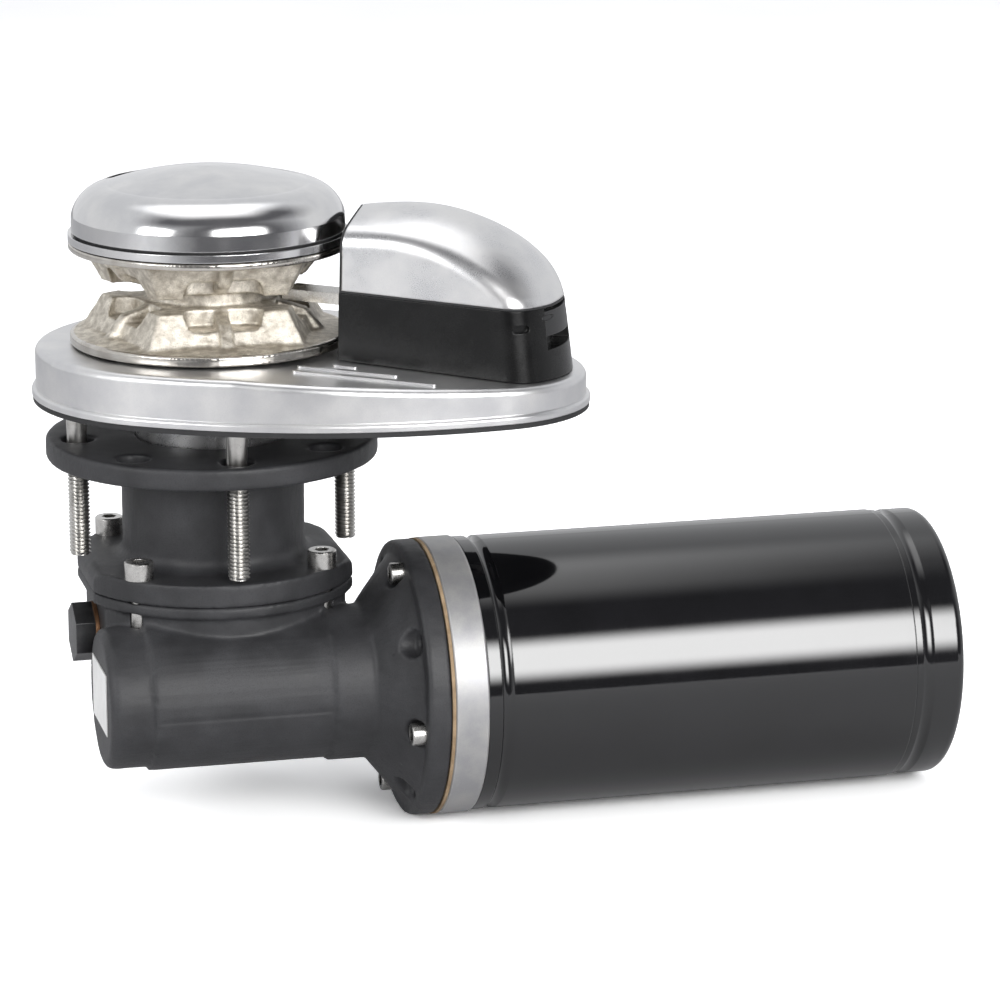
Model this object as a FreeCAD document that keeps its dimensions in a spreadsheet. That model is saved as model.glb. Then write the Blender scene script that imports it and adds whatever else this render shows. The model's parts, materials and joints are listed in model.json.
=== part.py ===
import FreeCAD, Part
import Sketcher
import math
import os
import re
from FreeCAD import Placement, Rotation, Vector

# Vertical anchor windlass: deck base, gypsy with cone clutch, chain hood, worm gearbox and motor.
# Origin: gypsy shaft axis on the deck plane. +Z up the shaft, +X along the motor. Millimetres.

DIMENSIONS = {
    # deck base: a big circle about the shaft, a nose circle and a convex arc along each side
    "base_r": 80.5, "nose_r": 55.7, "side_r": 225.0, "nose_d": 117.0, "nose_angle": -24.7,
    "gasket_t": 2.5, "base_top": 24.5, "base_tip_top": 16.3, "slope_start": 30.0, "base_lip": 1.8,
    "base_lip_t": 3.4, "base_edge_r": 3.2, "base_wall": 5.0, "boss_r": 42.0,
    "rib_w": 3.0, "rib_up": 1.0, "chain_hole_r": 22.0, "chain_hole_s": 116.0, "chain_hole_t": 5.0,
    # studs and gearbox flange
    "stud_pcd": 122.6, "stud_r": 5.0, "stud_root_r": 4.25, "stud_bottom": -70.9,
    "stud_top": 14.0, "stud_hole_r": 7.5,
    "flange_r": 75.0, "flange_top": -17.5, "flange_t": 10.0, "neck_r": 41.4, "neck_fillet": 6.0,
    "foot_top": -73.0, "foot_t": 10.3, "foot_r": 64.0, "foot_half": 59.5, "casing_screw_at": 41.5,
    # shaft line
    "shaft_r": 12.5, "shaft_bottom": -150.0, "shaft_top": 90.0, "shoulder_r": 17.0,
    "shoulder_z": 20.6, "shoulder_t": 5.2, "thread_r": 10.0, "thread_z": 76.5,
    "sleeve_r": 34.5, "sleeve_bore": 21.0, "sleeve_bottom": -36.0, "sleeve_top": 11.0,
    "bearing_r": 26.0, "bearing_t": 15.0, "low_bearing_r": 23.5, "low_bearing_t": 12.0,
    "seal_r": 24.0, "seal_t": 6.0, "slip": 0.03, "run": 0.06,
    # gypsy and clutch
    "gypsy_r": 62.8, "gypsy_z": 25.3, "gypsy_rim": 4.6, "gypsy_up_rim": 3.2, "gypsy_top": 71.2,
    "waist_r": 28.0, "gap_low": 45.2, "gap_high": 51.6, "pocket_count": 5, "crown_turn": -91.5,
    "crown_tip_r": 49.0, "crown_foot_r": 59.0, "disc_rise": 1.3, "pocket_depth": 8.0,
    "pocket_at": 37.5, "pocket_half": 18.0, "pocket_r": 6.5, "tooth_w": 6.0, "gypsy_bore": 18.0,
    "cone_big": 42.0, "cone_small": 33.0, "cone_depth": 8.0, "cone_gap": 0.35, "hub_len": 13.0,
    "key_w": 6.0, "key_in": 9.5, "key_tall": 6.0,
    "disc_z": 71.6, "disc_t": 3.4, "ring_r": 60.0, "ring_in": 50.0, "ring_t": 1.0,
    "dome_r": 61.3, "dome_z": 76.1, "dome_wall_top": 83.0, "dome_top": 104.0, "dome_skin": 4.0,
    "dome_shoulder_r": 57.6, "dome_shoulder_z": 90.2, "dome_crown_r": 45.0, "dome_crown_z": 96.7,
    "nut_r": 17.0, "nut_z": 77.0, "nut_t": 10.0,
    # lever slot in the dome
    "slot_at": 39.6, "slot_angle": 125.0, "slot_way": 20.0, "slot_long": 46.0, "slot_wide": 11.0,
    "slot_floor": 88.0, "slot_pad_r": 28.0,
    # hood: walls converge towards the gypsy and end in a nose concentric with the base
    "mouth_r": 68.5, "hood_nose_r": 48.0, "hood_skin": 3.0, "hood_gap": 0.4,
    "split_z": 53.0, "split_s": 62.0, "split_fall": 0.045, "trim_t": 1.2, "hood_corner_r": 13.0,
    "hood_edge_r": 11.0, "near_front_t": -22.5, "near_back_t": -36.0, "far_front_t": 42.0,
    "far_back_t": 37.0, "front_s": 50.0, "back_s": 148.0, "wall_draft": 0.045, "nose_draft": 0.12,
    "crown_r": 52.0, "crown_half": 49.0, "crown_t": 6.0, "crown_foot": -60.0,
    "vent_angle": -70.5, "vent_z": 41.3, "vent_r": 1.7, "vent_half": 2.2, "vent_depth": 2.0,
    "latch_half": 20.0, "latch_turn": -8.0, "latch_low": 36.5, "latch_high": 47.2,
    "latch_slot_low": 30.5, "latch_back_r": 40.3, "recess_r": 38.8, "latch_pin_r": 1.2,
    "latch_pin_z": 44.5, "latch_pin_reach": 42.2, "latch_pin_half": 17.0, "catch_half": 9.0,
    # chain stripper
    "stripper_z": 45.9, "stripper_t": 5.0, "stripper_half": 7.0, "post_s": 82.0, "post_t": -13.0,
    "post_r": 6.5,
    # worm and wheel
    "worm_y": -45.0, "worm_z": -126.4, "wheel_teeth": 32, "wheel_pitch_r": 33.0, "tooth_up": 1.9,
    "tooth_down": 2.3, "wheel_half": 9.0, "rim_in": 25.0, "worm_pitch_r": 12.0,
    "worm_core_r": 9.4, "thread_half": 27.0, "journal_r": 8.5, "worm_left": -52.0,
    "worm_right": 70.0, "small_bearing_r": 20.0, "small_bearing_t": 12.0, "right_bearing_x": 42.0,
    "coupling_r": 14.0, "coupling_x": 62.0, "coupling_len": 30.0,
    # lower casing
    "skirt_rim_t": 5.0, "skirt_half": 55.0, "skirt_low": -106.0,
    "bowl_r": 62.0, "bowl_low_r": 53.0, "bowl_step": -96.0, "bowl_bottom": -154.0,
    "worm_house_r": 31.6, "worm_house_x": -60.5, "mid_house_r": 33.4, "right_house_r": 34.9,
    "mid_house_x": -41.0, "right_house_x": 40.0, "flare_x": 58.0, "rim_x": 75.3, "rim_r": 62.5,
    "flange_x": 85.8, "bolt_r": 53.0, "bolt_turn": 12.0, "hole_turn": 57.0,
    "line_low": -130.4, "line_high": -119.4, "line_w": 1.0, "line_depth": 0.8,
    "plug_x": -66.0, "plug_z": -107.5, "plug_flat": 24.0, "plug_head": 9.0, "plug_r": 10.0,
    # motor
    "paper_t": 1.5, "cover_r": 63.0, "cover_end": 102.7, "motor_r": 62.3, "motor_wall": 3.5,
    "tube_end": 302.4, "cap_r": 61.8, "cap_end": 326.0, "cap_edge_r": 4.0, "groove_d": 1.2,
    "tube_groove_x": 111.4, "tube_groove_w": 5.5, "cap_groove_x": 308.4, "cap_groove_w": 7.0,
    "magnet_r": 58.6, "magnet_t": 6.0, "magnet_start": 132.0, "magnet_len": 150.0,
    "core_r": 51.5, "core_start": 137.0, "core_len": 140.0, "coil_r": 46.0, "coil_in": 20.0,
    "coil_t": 12.0, "commutator_r": 21.0, "commutator_x": 289.4, "commutator_len": 14.0,
    "rotor_end": 320.0, "brush_x": 291.5, "brush_w": 9.0,
    "brush_plate_x": 291.0, "brush_plate_t": 10.0, "rear_bearing_x": 308.0,
    "terminal_r": 3.0, "terminal_shank_r": 2.4, "terminal_x": 292.0,
    "terminal_up": 14.0, "terminal_in": 56.5, "terminal_out": 76.0, "collar_r": 7.0, "collar_out": 66.0,
}

AXIS_TURN = {
    "Z": Rotation(),
    "X": Rotation(Vector(0, 1, 0), 90),
}
WORM_LINE = ("worm_y", "worm_z")
STUD_ANGLES = (0, 90, 180, 270)
# the hood's ridge as (distance along the base's axis, height)
ROOF_LINE = ((20, 82.5), (45, 85.0), (66, 86.9), (90, 88.8), (115, 85.5), (137, 76.0), (152, 63.0),
             (162, 46.0), (168, 28.0))
SPARE_ANGLES = (45, 135, 225, 315)

doc = FreeCAD.newDocument("anchor_windlass")
sheet = doc.addObject("Spreadsheet::Sheet", "dims")
for row, (alias, number) in enumerate(DIMENSIONS.items(), start=1):
    sheet.set(f"A{row}", alias)
    sheet.set(f"B{row}", str(number))
    sheet.setAlias(f"B{row}", alias)
doc.recompute()

nodes = []


def dim(alias):
    """The value of one cell of the sheet."""
    return float(sheet.get(alias))


def expression(text):
    """Turn words into references to the sheet."""
    return re.sub(r"\b([a-z]\w*)\b", r"dims.\1", text)


def keep(obj, label):
    """Name a finished sub-part and list it for export."""
    obj.Label = label
    nodes.append(obj)
    return obj


def origin_plane(body, role):
    return next(item for item in body.Origin.OriginFeatures if item.Role == role)


def place(obj, axis, start):
    """Stand a piece on the shaft line (Z) or lay it on the worm line (X), bound to the sheet."""
    obj.Placement = Placement(Vector(), AXIS_TURN[axis])
    along = "z" if axis == "Z" else "x"
    obj.setExpression(f".Placement.Base.{along}", expression(start))
    if axis == "X":
        obj.setExpression(".Placement.Base.y", expression(WORM_LINE[0]))
        obj.setExpression(".Placement.Base.z", expression(WORM_LINE[1]))


def primitive(kind, sizes, axis, start, across=None):
    """One Part primitive along Z or X, every size an expression; across moves it off its line."""
    obj = doc.addObject(f"Part::{kind}", kind.lower())
    for name, text in sizes.items():
        obj.setExpression(name, expression(text))
    place(obj, axis, start)
    if across:
        for letter, text in across.items():
            obj.setExpression(f".Placement.Base.{letter}", expression(text))
    return obj


def rod(radius, length, axis, start, across=None):
    return primitive("Cylinder", {"Radius": radius, "Height": length}, axis, start, across)


def taper(first, last, length, axis, start):
    return primitive("Cone", {"Radius1": first, "Radius2": last, "Height": length}, axis, start)


def joined(pieces):
    obj = doc.addObject("Part::MultiFuse", "joined")
    obj.Shapes = pieces
    return obj


def without(base, tools):
    """The base less one or more tools."""
    obj = doc.addObject("Part::Cut", "without")
    obj.Base = base
    obj.Tool = tools[0] if len(tools) == 1 else joined(tools)
    return obj


def turned(label, axis, start, steps, bores=(), slots=()):
    """A lathe-turned piece: steps are (radius, length) or (first, last, length), bores likewise
    with their own start, and slots are blocks cut from it."""
    pieces = []
    at = start
    for step in steps:
        if len(step) == 2:
            pieces.append(rod(step[0], step[1], axis, at))
        else:
            pieces.append(taper(step[0], step[1], step[2], axis, at))
        at = f"{at} + {step[-1]}"
    solid = joined(pieces) if len(pieces) > 1 else pieces[0]
    tools = list(slots)
    for begin, *sizes in bores:
        if len(sizes) == 2:
            tools.append(rod(sizes[0], sizes[1], axis, begin))
        else:
            tools.append(taper(sizes[0], sizes[1], sizes[2], axis, begin))
    return keep(without(solid, tools) if tools else solid, label)


def ring(label, axis, start, length, outer, inner):
    return turned(label, axis, start, [(outer, length)], [(f"{start} - 1", inner, f"{length} + 2")])


def computed(label, shape):
    """A piece whose shape is worked out here from the sheet."""
    obj = doc.addObject("Part::Feature", label)
    obj.Shape = shape
    return keep(obj, label)


# ---------------------------------------------------------------- plain shape helpers

def cylinder(radius, length, at, axis=Vector(0, 0, 1)):
    return Part.makeCylinder(radius, length, at, axis)


def worm_point(x):
    return Vector(x, dim("worm_y"), dim("worm_z"))


X_AXIS = Vector(1, 0, 0)
Y_AXIS = Vector(0, 1, 0)
Z_AXIS = Vector(0, 0, 1)


def polar(radius, angle, z=0.0):
    turn = math.radians(angle)
    return Vector(radius * math.cos(turn), radius * math.sin(turn), z)


def base_frame(s, t, z=0.0):
    """A point s along the base's long axis and t to its left."""
    return polar(s, dim("nose_angle"), z) + polar(t, dim("nose_angle") + 90)


def bolt_point(angle, x):
    """A point on the motor bolt circle, angle from +Y towards +Z."""
    turn = math.radians(angle)
    reach = dim("bolt_r")
    return worm_point(x) + Vector(0, reach * math.cos(turn), reach * math.sin(turn))


def box(low, high):
    size = high - low
    return Part.makeBox(size.x, size.y, size.z, low)


def prism(points, height):
    """A polygon drawn at its own height and pushed up."""
    face = Part.Face(Part.makePolygon(points + [points[0]]))
    return face.extrude(Vector(0, 0, height))


def hexagon(across_flats, height, at, axis):
    corner = across_flats / math.sqrt(3)
    points = [polar(corner, 60 * i) for i in range(6)]
    solid = prism(points, height)
    solid.Placement = Placement(at, Rotation(Z_AXIS, axis))
    return solid


# ---------------------------------------------------------------- deck base and gasket

def base_outline(inset, z):
    """The deck outline: big circle, nose circle and a convex arc on each side, all concentric."""
    big = dim("base_r") - inset
    nose = dim("nose_r") - inset
    side = dim("side_r") - inset
    far = dim("nose_d")
    to_big = dim("side_r") - dim("base_r")
    to_nose = dim("side_r") - dim("nose_r")
    centre_s = (to_big ** 2 - to_nose ** 2 + far ** 2) / (2 * far)
    centre_t = math.sqrt(to_big ** 2 - centre_s ** 2)
    unit_s = -centre_s / to_big
    unit_t = centre_t / to_big
    nose_s = (far - centre_s) / to_nose
    nose_t = centre_t / to_nose
    joins = {}
    for side_sign in (1, -1):
        joins[side_sign] = (
            base_frame(big * unit_s, side_sign * big * unit_t, z),
            base_frame(centre_s + side * math.sin(0.5 * (math.asin(unit_s) + math.asin(nose_s))),
                       side_sign * (side * math.cos(0.5 * (math.asin(unit_s) + math.asin(nose_s)))
                                    - centre_t), z),
            base_frame(far + nose * nose_s, side_sign * nose * nose_t, z),
        )
    back = base_frame(-big, 0, z)
    tip = base_frame(far + nose, 0, z)
    edges = [
        Part.Arc(joins[-1][0], back, joins[1][0]).toShape(),
        Part.Arc(joins[1][0], joins[1][1], joins[1][2]).toShape(),
        Part.Arc(joins[1][2], tip, joins[-1][2]).toShape(),
        Part.Arc(joins[-1][2], joins[-1][1], joins[-1][0]).toShape(),
    ]
    return Part.Wire(edges)


def outline_solid(inset, low, high):
    return Part.Face(base_outline(inset, low)).extrude(Vector(0, 0, high - low))


def base_fall():
    """How far the top drops for each millimetre beyond the level part."""
    end = dim("nose_d") + dim("nose_r")
    return (dim("base_top") - dim("base_tip_top")) / (end - dim("slope_start"))


def top_height(s):
    return dim("base_top") - base_fall() * max(s - dim("slope_start"), 0)


def above_top(lift):
    """Everything above the base's top face, raised by lift."""
    start = dim("slope_start")
    far = dim("nose_d") + dim("nose_r") + 30
    reach = 130
    points = [
        base_frame(-reach, -reach, top_height(0) + lift),
        base_frame(start, -reach, top_height(0) + lift),
        base_frame(far, -reach, top_height(far) + lift),
        base_frame(far, -reach, 150),
        base_frame(-reach, -reach, 150),
    ]
    face = Part.Face(Part.makePolygon(points + [points[0]]))
    return face.extrude(base_frame(0, 2 * reach))


def chain_hole(low, high, grow=0.0):
    at = base_frame(dim("chain_hole_s"), dim("chain_hole_t"), low)
    return cylinder(dim("chain_hole_r") + grow, high - low, at)


def stud_holes(radius, low, high):
    return [cylinder(radius, high - low, polar(dim("stud_pcd") / 2, a, low)) for a in STUD_ANGLES]


def raised_ribs():
    """Low parallel ribs on the sloping top, in front of the hood."""
    ribs = []
    wide = dim("rib_w")
    for t, first, last in ((-35.5, 66, 74), (-44.0, 52, 94), (-54.0, 52, 113)):
        low = top_height(last) - 2
        ends = [cylinder(wide / 2, 20, base_frame(s, t, low)) for s in (first, last)]
        bar = prism([base_frame(first, t - wide / 2, low), base_frame(last, t - wide / 2, low),
                     base_frame(last, t + wide / 2, low), base_frame(first, t + wide / 2, low)], 20)
        ribs.append(bar.fuse(ends).removeSplitter().cut(above_top(dim("rib_up"))))
    return ribs


def make_gasket():
    plate = outline_solid(0.4, 0, dim("gasket_t"))
    centre = cylinder(dim("sleeve_r") + 0.5, 10, Vector(0, 0, -5))
    holes = stud_holes(dim("stud_r") + 0.3, -5, 5)
    computed("deck_gasket", plate.cut([centre, chain_hole(-5, 5)] + holes))


def make_base():
    bottom = dim("gasket_t")
    top = dim("base_top")
    wall = outline_solid(dim("base_lip"), bottom, top + 5).cut(above_top(0))
    rim = [e for e in wall.Edges if e.BoundBox.ZMin > bottom + 8 and e.Length > 20]
    wall = wall.makeFillet(dim("base_edge_r"), rim)
    lip = outline_solid(0, bottom, bottom + dim("base_lip_t"))
    lip = lip.makeFillet(1.4, [e for e in lip.Edges if e.BoundBox.ZMin > bottom + 1])
    hollow = outline_solid(dim("base_lip") + dim("base_wall"), bottom - 1, top - 12)
    boss = cylinder(dim("boss_r"), 40, Vector(0, 0, 0))
    ribs_inside = stud_holes(dim("stud_r") + 6, 0, 40)
    pipe = chain_hole(0, 40, 4.0)
    hollow = hollow.cut([boss, pipe] + ribs_inside)
    solid = wall.fuse(lip).cut(hollow)
    solid = solid.fuse(raised_ribs())
    bores = [
        cylinder(dim("sleeve_r") + 0.1, dim("sleeve_top") + 0.2, Vector(0, 0, 0)),
        cylinder(dim("seal_r"), dim("seal_t"), Vector(0, 0, dim("sleeve_top"))),
        cylinder(dim("shoulder_r") + 0.6, 40, Vector(0, 0, dim("sleeve_top"))),
    ]
    threads = stud_holes(dim("stud_root_r") + 0.02, -5, dim("stud_top") + 0.2)
    computed("deck_base", solid.cut(bores + threads + [chain_hole(-5, 60)]))


def make_studs():
    """Each stud is full size below the deck plane and its thread's root size inside the base."""
    bottom = dim("stud_bottom")
    studs = []
    for angle in STUD_ANGLES:
        foot = polar(dim("stud_pcd") / 2, angle, bottom)
        shank = cylinder(dim("stud_r"), -bottom, foot)
        shank = shank.makeChamfer(1.0, [e for e in shank.Edges if e.BoundBox.ZMax < bottom + 0.1])
        studs.append(shank.fuse(cylinder(dim("stud_root_r"), dim("stud_top") - bottom, foot)))
    computed("mounting_studs", Part.makeCompound(studs))


# ---------------------------------------------------------------- shaft line

def make_shaft_line():
    turned("main_shaft", "Z", "shaft_bottom", [
        ("shaft_r", "shoulder_z - shaft_bottom"),
        ("shoulder_r", "shoulder_t"),
        ("shaft_r", "thread_z - shoulder_z - shoulder_t"),
        ("thread_r", "shaft_top - thread_z - 1"),
        ("thread_r", "thread_r - 1", "1"),
    ], slots=[key(*where) for where in KEYS.values()])
    turned("shaft_sleeve", "Z", "sleeve_bottom", [("sleeve_r", "sleeve_top - sleeve_bottom")], [
        ("sleeve_bottom - 1", "sleeve_bore", "sleeve_top - sleeve_bottom + 2"),
        ("sleeve_top - bearing_t - 0.5", "bearing_r", "bearing_t + 2"),
    ])
    for label, start in (("upper_bearing", "sleeve_top - bearing_t - 0.25"),
                         ("middle_bearing", "foot_top - foot_t + 1")):
        ring(label, "Z", start, "bearing_t", "bearing_r - slip", "shaft_r + slip")
    ring("lower_bearing", "Z", "shaft_bottom + 1", "low_bearing_t", "low_bearing_r - slip",
         "shaft_r + slip")
    ring("shaft_seal", "Z", "sleeve_top + 0.3", "seal_t - 0.6", "seal_r - slip", "shaft_r + run")
    ring("gearbox_seal", "Z", "sleeve_bottom - 8", "seal_t", "seal_r - slip", "shaft_r + run")
    ring("wheel_spacer", "Z", "worm_z + wheel_half + 0.05",
         "foot_top - foot_t + 0.9 - worm_z - wheel_half", "shaft_r + 4", "shaft_r + slip")


def key(start, length):
    """The block of a parallel key on the shaft's +X side."""
    return primitive("Box", {"Length": "key_tall", "Width": "key_w", "Height": length}, "Z", start,
                     {"x": "key_in", "y": "-key_w / 2"})


KEYS = {
    "wheel_hub": ("worm_z - wheel_half + 1", "2 * wheel_half - 2"),
    "lower_clutch_cone": ("shoulder_z + shoulder_t + 2", "16"),
    "upper_clutch_cone": ("gypsy_top - 19", "16"),
}


def make_keys():
    keys = [key(*where) for where in KEYS.values()]
    group = doc.addObject("Part::Compound", "keys")
    group.Links = keys
    keep(group, "shaft_keys")


def make_clutch():
    lower = "shoulder_z + shoulder_t + 0.1"
    turned("lower_clutch_cone", "Z", lower, [
        ("cone_big - cone_gap", "cone_small - cone_gap", "cone_depth"),
        ("gypsy_bore - run", "hub_len"),
    ], [(f"{lower} - 1", "shaft_r + slip", "40")], [key(*KEYS["lower_clutch_cone"])])
    upper = "gypsy_top - 0.5 - cone_depth - hub_len"
    turned("upper_clutch_cone", "Z", upper, [
        ("gypsy_bore - run", "hub_len"),
        ("cone_small - cone_gap", "cone_big - cone_gap", "cone_depth"),
    ], [(f"{upper} - 1", "shaft_r + slip", "40")], [key(*KEYS["upper_clutch_cone"])])
    ring("clutch_disc", "Z", "disc_z", "disc_t", "gypsy_r", "shaft_r + slip")
    ring("dome_seal_ring", "Z", "disc_z + disc_t + 0.05", "ring_t", "ring_r", "ring_in")
    ring("cap_nut", "Z", "nut_z", "nut_t", "nut_r - run", "thread_r + run")


def crown(foot_z, tip_z):
    """One half's crown: a five-sided wall that narrows towards the chain gap."""
    count = int(dim("pocket_count"))
    corner = dim("crown_turn") + 180 / count
    rings = []
    for radius, z in ((dim("crown_foot_r"), foot_z), (dim("crown_tip_r"), tip_z)):
        points = [polar(radius, corner + 360 * i / count, z) for i in range(count)]
        rings.append(Part.makePolygon(points + [points[0]]))
    return Part.makeLoft(rings, True, True)


def link_pocket(angle, tip_z, side):
    """The long hollow that one flat link lies in, open towards the chain gap."""
    radius = dim("pocket_r")
    half = dim("pocket_half") - radius
    tall = dim("pocket_depth") + 1
    low = tip_z - dim("pocket_depth") if side < 0 else tip_z - 1
    middle = polar(dim("pocket_at"), angle, low)
    along = polar(1, angle + 90)
    out = polar(radius, angle)
    ends = [cylinder(radius, tall, middle + along * (end * half)) for end in (-1, 1)]
    return prism([middle + along * half + out, middle + along * half - out,
                  middle - along * half - out, middle - along * half + out], tall).fuse(ends)


def chain_tooth(angle, foot_z, tip_z):
    """A radial tooth across the pocket, which runs down the outside of the crown."""
    half = dim("tooth_w") / 2
    inner = dim("waist_r") - 2
    reach = dim("crown_foot_r") * math.cos(math.pi / dim("pocket_count"))
    points = [Vector(inner, -half, foot_z), Vector(reach + 5, -half, foot_z),
              Vector(reach - 4, -half, tip_z + 0.3 * (foot_z - tip_z)), Vector(inner, -half, tip_z)]
    tooth = Part.Face(Part.makePolygon(points + [points[0]])).extrude(Vector(0, 2 * half, 0))
    outer = [e for e in tooth.Edges if e.BoundBox.XMin > reach - 5 and e.BoundBox.YLength < 0.1]
    tooth = tooth.makeFillet(1.5, outer)
    tooth.rotate(Vector(), Z_AXIS, angle)
    return tooth


def make_gypsy():
    r = dim("gypsy_r")
    low = dim("gypsy_z")
    top = dim("gypsy_top")
    waist = dim("waist_r")
    bore = dim("gypsy_bore")
    big = dim("cone_big")
    small = dim("cone_small")
    depth = dim("cone_depth")
    count = int(dim("pocket_count"))
    solid = cylinder(waist, top - low, Vector(0, 0, low))
    for side, rim_start, rim_end, tip in ((-1, low, low + dim("gypsy_rim"), dim("gap_low")),
                                          (1, top, top - dim("gypsy_up_rim"), dim("gap_high"))):
        disc = cylinder(r, abs(rim_end - rim_start), Vector(0, 0, min(rim_start, rim_end)))
        rise = rim_end - side * dim("disc_rise")
        wide, narrow = r, dim("crown_foot_r") - 8
        sizes = (wide, narrow) if side < 0 else (narrow, wide)
        slope = Part.makeCone(*sizes, dim("disc_rise"), Vector(0, 0, min(rim_end, rise)))
        wall = crown(rim_end, tip)
        angles = [dim("crown_turn") + 360 * i / count for i in range(count)]
        wall = wall.cut([link_pocket(angle, tip, side) for angle in angles])
        teeth = [chain_tooth(angle, rim_end, tip) for angle in angles]
        solid = solid.fuse([disc, slope, wall] + teeth)
    recess = [
        Vector(0, 0, low - 1), Vector(big, 0, low - 1), Vector(big, 0, low + 1),
        Vector(small, 0, low + depth + 1), Vector(bore, 0, low + depth + 1),
        Vector(bore, 0, top - depth - 1), Vector(small, 0, top - depth - 1),
        Vector(big, 0, top - 1), Vector(big, 0, top + 1), Vector(0, 0, top + 1),
    ]
    hollow = Part.Face(Part.makePolygon(recess + [recess[0]])).revolve(Vector(), Z_AXIS, 360)
    computed("gypsy", solid.cut(hollow))


def dome_curve(inset):
    """Outer profile of the dome: straight wall, shoulder arc, crown arc."""
    r = dim("dome_r") - inset
    foot = Vector(r, 0, dim("dome_z"))
    wall = Vector(r - 0.2, 0, dim("dome_wall_top"))
    shoulder = Vector(dim("dome_shoulder_r") - inset, 0, dim("dome_shoulder_z") - 0.4 * inset)
    crown = Vector(dim("dome_crown_r") - 0.4 * inset, 0, dim("dome_crown_z") - inset)
    over = Vector(dim("dome_crown_r") / 2, 0, dim("dome_top") - 2.3 - inset)
    apex = Vector(0, 0, dim("dome_top") - inset)
    return [Part.makeLine(foot, wall), Part.Arc(wall, shoulder, crown).toShape(),
            Part.Arc(crown, over, apex).toShape()]


def dome_solid(inset):
    edges = dome_curve(inset)
    foot = Vector(0, 0, dim("dome_z"))
    edges.append(Part.makeLine(Vector(0, 0, dim("dome_top") - inset), foot))
    edges.append(Part.makeLine(foot, Vector(dim("dome_r") - inset, 0, dim("dome_z"))))
    return Part.Face(Part.Wire(edges)).revolve(Vector(), Z_AXIS, 360)


def make_dome():
    solid = dome_solid(0)
    hollow = dome_solid(dim("dome_skin"))
    post = cylinder(dim("nut_r") + 5, 40, Vector(0, 0, dim("dome_z")))
    at = polar(dim("slot_at"), dim("slot_angle"), dim("slot_floor"))
    along = polar(1, dim("slot_way"))
    half = dim("slot_long") / 2 - dim("slot_wide") / 2
    ends = [cylinder(dim("slot_wide") / 2, 30, at + along * (side * half)) for side in (-1, 1)]
    across = polar(dim("slot_wide") / 2, dim("slot_way") + 90)
    bar = prism([at + along * half + across, at - along * half + across,
                 at - along * half - across, at + along * half - across], 30)
    slot = bar.fuse(ends)
    pad_room = cylinder(dim("slot_pad_r"), 30, at - Vector(0, 0, 3))
    hollow = hollow.cut([post, pad_room])
    bore = cylinder(dim("nut_r"), dim("nut_t") + 1.2, Vector(0, 0, dim("dome_z") - 0.1))
    way = cylinder(dim("thread_r") + 1, dim("shaft_top") - dim("dome_z") + 4, Vector(0, 0, dim("dome_z")))
    computed("dome_cap", solid.cut([hollow, bore, way, slot]))


# ---------------------------------------------------------------- hood

def hood_wire(inset, z):
    """Plan of the hood at one height: two walls and a nose arc, leaning in as they rise."""
    lean = dim("wall_draft") * (z - dim("base_tip_top"))
    nose = dim("hood_nose_r") - inset - dim("nose_draft") * (z - dim("base_tip_top"))
    corners = []
    for sign, front, back in ((-1, "near_front_t", "near_back_t"), (1, "far_front_t", "far_back_t")):
        shift = -sign * (inset + lean)
        start = (dim("front_s"), dim(front) + shift)
        slope = (dim(back) - dim(front)) / (dim("back_s") - dim("front_s"))
        # where the wall line meets the nose circle
        offset = start[1] - slope * (start[0] - dim("nose_d"))
        a = 1 + slope ** 2
        b = slope * offset
        along = (-b + math.sqrt(b ** 2 - a * (offset ** 2 - nose ** 2))) / a
        meet = (dim("nose_d") + along, offset + slope * along)
        corners.append((base_frame(*start, z), base_frame(*meet, z)))
    tip = base_frame(dim("nose_d") + nose, 0, z)
    near, far = corners
    return Part.Wire([
        Part.makeLine(near[0], near[1]),
        Part.Arc(near[1], tip, far[1]).toShape(),
        Part.makeLine(far[1], far[0]),
        Part.makeLine(far[0], near[0]),
    ])


def crowned_roof(inset):
    """A long block whose top follows the roof line and is arched from wall to wall."""
    radius = dim("crown_r") - inset
    half = dim("crown_half")
    sag = radius - math.sqrt(radius ** 2 - half ** 2)
    first = dim("crown_t") - half
    last = dim("crown_t") + half
    wires = []
    for s, z in ROOF_LINE:
        top = z - inset
        near = base_frame(s, first, top - sag)
        far = base_frame(s, last, top - sag)
        ridge = base_frame(s, dim("crown_t"), top)
        low_near = base_frame(s, first, dim("crown_foot"))
        low_far = base_frame(s, last, dim("crown_foot"))
        wires.append(Part.Wire([
            Part.Arc(near, ridge, far).toShape(),
            Part.makeLine(far, low_far),
            Part.makeLine(low_far, low_near),
            Part.makeLine(low_near, near),
        ]))
    return Part.makeLoft(wires, True, False)


def hood_block(inset, corner, edge):
    """The full hood shape, inset for its inside, with rounded corners and roof edge."""
    low = dim("base_tip_top") - 4
    block = Part.makeLoft([hood_wire(inset, low), hood_wire(inset, 95)], True, True)
    upright = [e for e in block.Edges if e.BoundBox.ZLength > 60
               and base_s(e.BoundBox.Center) > dim("nose_d")]
    block = block.makeFillet(corner, upright)
    block = block.common(crowned_roof(inset))
    if edge:
        top_edges = [e for e in block.Edges if on_roof(e)]
        block = block.makeFillet(edge, top_edges)
    return block


def base_s(point):
    return point.dot(polar(1, dim("nose_angle")))


def base_t(point):
    return point.dot(polar(1, dim("nose_angle") + 90))


def on_roof(edge):
    """Edges where the roof meets the walls and the nose, not the flat front."""
    box_ = edge.BoundBox
    middle = edge.valueAt((edge.FirstParameter + edge.LastParameter) / 2)
    return (box_.ZMin > 30 and base_s(middle) > dim("front_s") + 3
            and edge.Length > 8 and box_.ZMax > 50 and not is_upright(edge))


def is_upright(edge):
    box_ = edge.BoundBox
    return box_.ZLength > 3 * max(box_.XLength, box_.YLength)


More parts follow.
